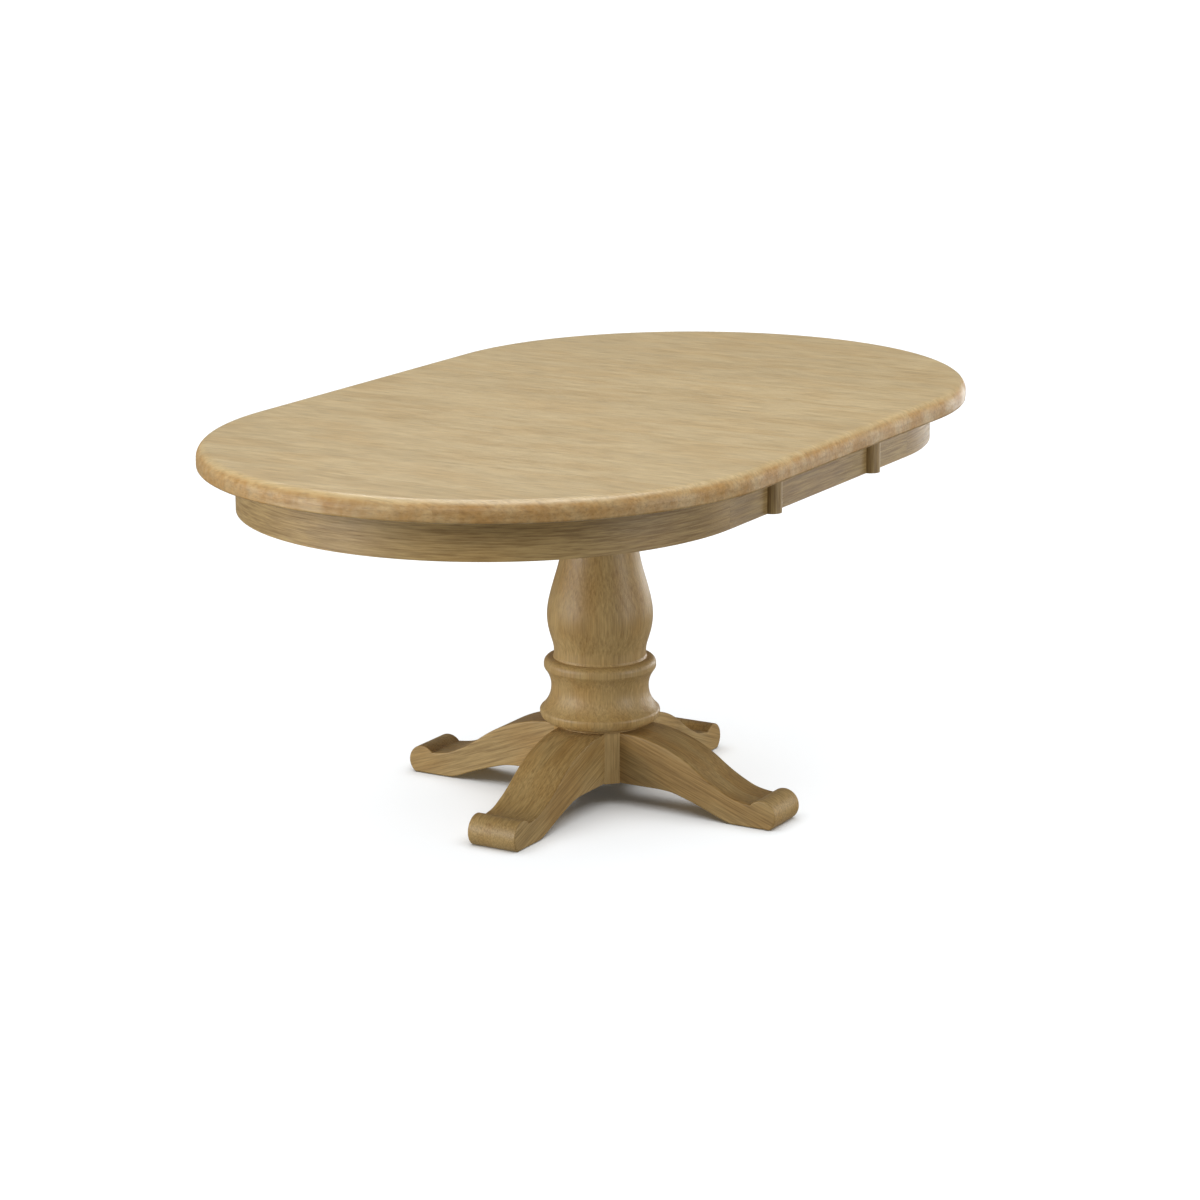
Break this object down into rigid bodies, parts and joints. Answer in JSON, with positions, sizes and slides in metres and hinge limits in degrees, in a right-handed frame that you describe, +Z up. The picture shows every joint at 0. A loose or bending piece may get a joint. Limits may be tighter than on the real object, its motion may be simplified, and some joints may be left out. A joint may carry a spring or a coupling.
{
  "type": "extending pedestal dining table",
  "caption": "Racetrack-top wooden dining table with a lift-out leaf and geared slides, on a turned pedestal with four scroll-footed legs.",
  "frame": {"origin": "on the floor, under the pedestal column's axis", "axes": "+X along the table's length, the way the right-hand top half draws out; +Y across it towards the back; +Z up"},
  "size_m": [1.8288, 1.0668, 0.762],
  "materials": {
    "top_oak": "light natural oak, satin lacquer",
    "apron_oak": "light natural oak, satin lacquer",
    "base_oak": "light natural oak, satin lacquer",
    "slide_maple": "planed maple, waxed",
    "frame_poplar": "planed, unfinished",
    "dowel_beech": "fluted beech, glued",
    "gear_nylon": "moulded nylon",
    "glide_nylon": "brown nylon",
    "lock_steel": "bronze-coloured plating",
    "black_steel": "black powder coat",
    "zinc_steel": "zinc plated"
  },
  "bodies": {
    "pedestal": {"bearer_screws": "zinc_steel", "centre_rail_back": "slide_maple", "centre_rail_front": "slide_maple", "cross_bearer_left": "frame_poplar", "cross_bearer_right": "frame_poplar", "foot_glides": "glide_nylon", "hub_post": "base_oak", "leg_back": "base_oak", "leg_dowels": "dowel_beech", "leg_front": "base_oak", "leg_left": "base_oak", "leg_right": "base_oak", "mounting_board": "frame_poplar", "pinion_axles": "zinc_steel", "spider_plate": "black_steel", "spider_plate_screws": "zinc_steel", "tie_rod": "zinc_steel", "tie_rod_nuts": "zinc_steel", "tie_rod_washers": "zinc_steel", "turned_column": "base_oak"},
    "left_half": {"apron_blocks_left": "frame_poplar", "bead_left_back": "apron_oak", "bead_left_front": "apron_oak", "end_apron_left": "apron_oak", "lock_bases_left": "lock_steel", "rack_left_back": "gear_nylon", "rack_left_front": "gear_nylon", "side_apron_left_back": "apron_oak", "side_apron_left_front": "apron_oak", "slider_left_back": "slide_maple", "slider_left_front": "slide_maple", "slider_screws_left": "zinc_steel", "top_half_left": "top_oak"},
    "right_half": {"apron_blocks_right": "frame_poplar", "bead_right_back": "apron_oak", "bead_right_front": "apron_oak", "end_apron_right": "apron_oak", "lock_bases_right": "lock_steel", "rack_right_back": "gear_nylon", "rack_right_front": "gear_nylon", "side_apron_right_back": "apron_oak", "side_apron_right_front": "apron_oak", "slider_right_back": "slide_maple", "slider_right_front": "slide_maple", "slider_screws_right": "zinc_steel", "top_half_right": "top_oak"},
    "pinion_front": {"pinion_front": "gear_nylon"},
    "pinion_back": {"pinion_back": "gear_nylon"},
    "leaf": {"leaf_apron_back": "apron_oak", "leaf_apron_blocks": "frame_poplar", "leaf_apron_front": "apron_oak", "leaf_beads_back": "apron_oak", "leaf_beads_front": "apron_oak", "leaf_panel": "top_oak", "lock_keepers": "lock_steel"},
    "lock_lever_left_front": {"lock_lever_left_front": "lock_steel"},
    "lock_lever_left_back": {"lock_lever_left_back": "lock_steel"},
    "lock_lever_right_front": {"lock_lever_right_front": "lock_steel"},
    "lock_lever_right_back": {"lock_lever_right_back": "lock_steel"}
  },
  "joints": [
    {"name": "left_half_slide", "type": "slide", "parent": "pedestal", "child": "left_half", "axis": [-1, 0, 0], "range_m": [0, 0.05]},
    {"name": "right_half_slide", "type": "slide", "parent": "pedestal", "child": "right_half", "axis": [1, 0, 0], "range_m": [0, 0.05]},
    {"name": "pinion_front_spin", "type": "hinge", "parent": "pedestal", "child": "pinion_front", "pos_m": [0, -0.21, 0.689], "axis": [0, 0, 1], "range_deg": [-127.4, 0]},
    {"name": "pinion_back_spin", "type": "hinge", "parent": "pedestal", "child": "pinion_back", "pos_m": [0, 0.21, 0.689], "axis": [0, 0, 1], "range_deg": [0, 127.4]},
    {"name": "leaf_lift", "type": "slide", "parent": "pedestal", "child": "leaf", "axis": [0, 0, 1], "range_m": [0, 0.25]},
    {"name": "lock_left_front_swing", "type": "hinge", "parent": "left_half", "child": "lock_lever_left_front", "pos_m": [-0.2272, -0.32, 0.7149], "axis": [0, 0, 1], "range_deg": [0, 90]},
    {"name": "lock_left_back_swing", "type": "hinge", "parent": "left_half", "child": "lock_lever_left_back", "pos_m": [-0.2272, 0.32, 0.7149], "axis": [0, 0, -1], "range_deg": [0, 90]},
    {"name": "lock_right_front_swing", "type": "hinge", "parent": "right_half", "child": "lock_lever_right_front", "pos_m": [0.2272, -0.32, 0.7149], "axis": [0, 0, -1], "range_deg": [0, 90]},
    {"name": "lock_right_back_swing", "type": "hinge", "parent": "right_half", "child": "lock_lever_right_back", "pos_m": [0.2272, 0.32, 0.7149], "axis": [0, 0, 1], "range_deg": [0, 90]}
  ],
  "couplings": [
    {"joint": "right_half_slide", "follows": "left_half_slide", "ratio": 1},
    {"joint": "pinion_front_spin", "follows": "left_half_slide", "rad_per_m": -44.444},
    {"joint": "pinion_back_spin", "follows": "left_half_slide", "rad_per_m": 44.444}
  ]
}
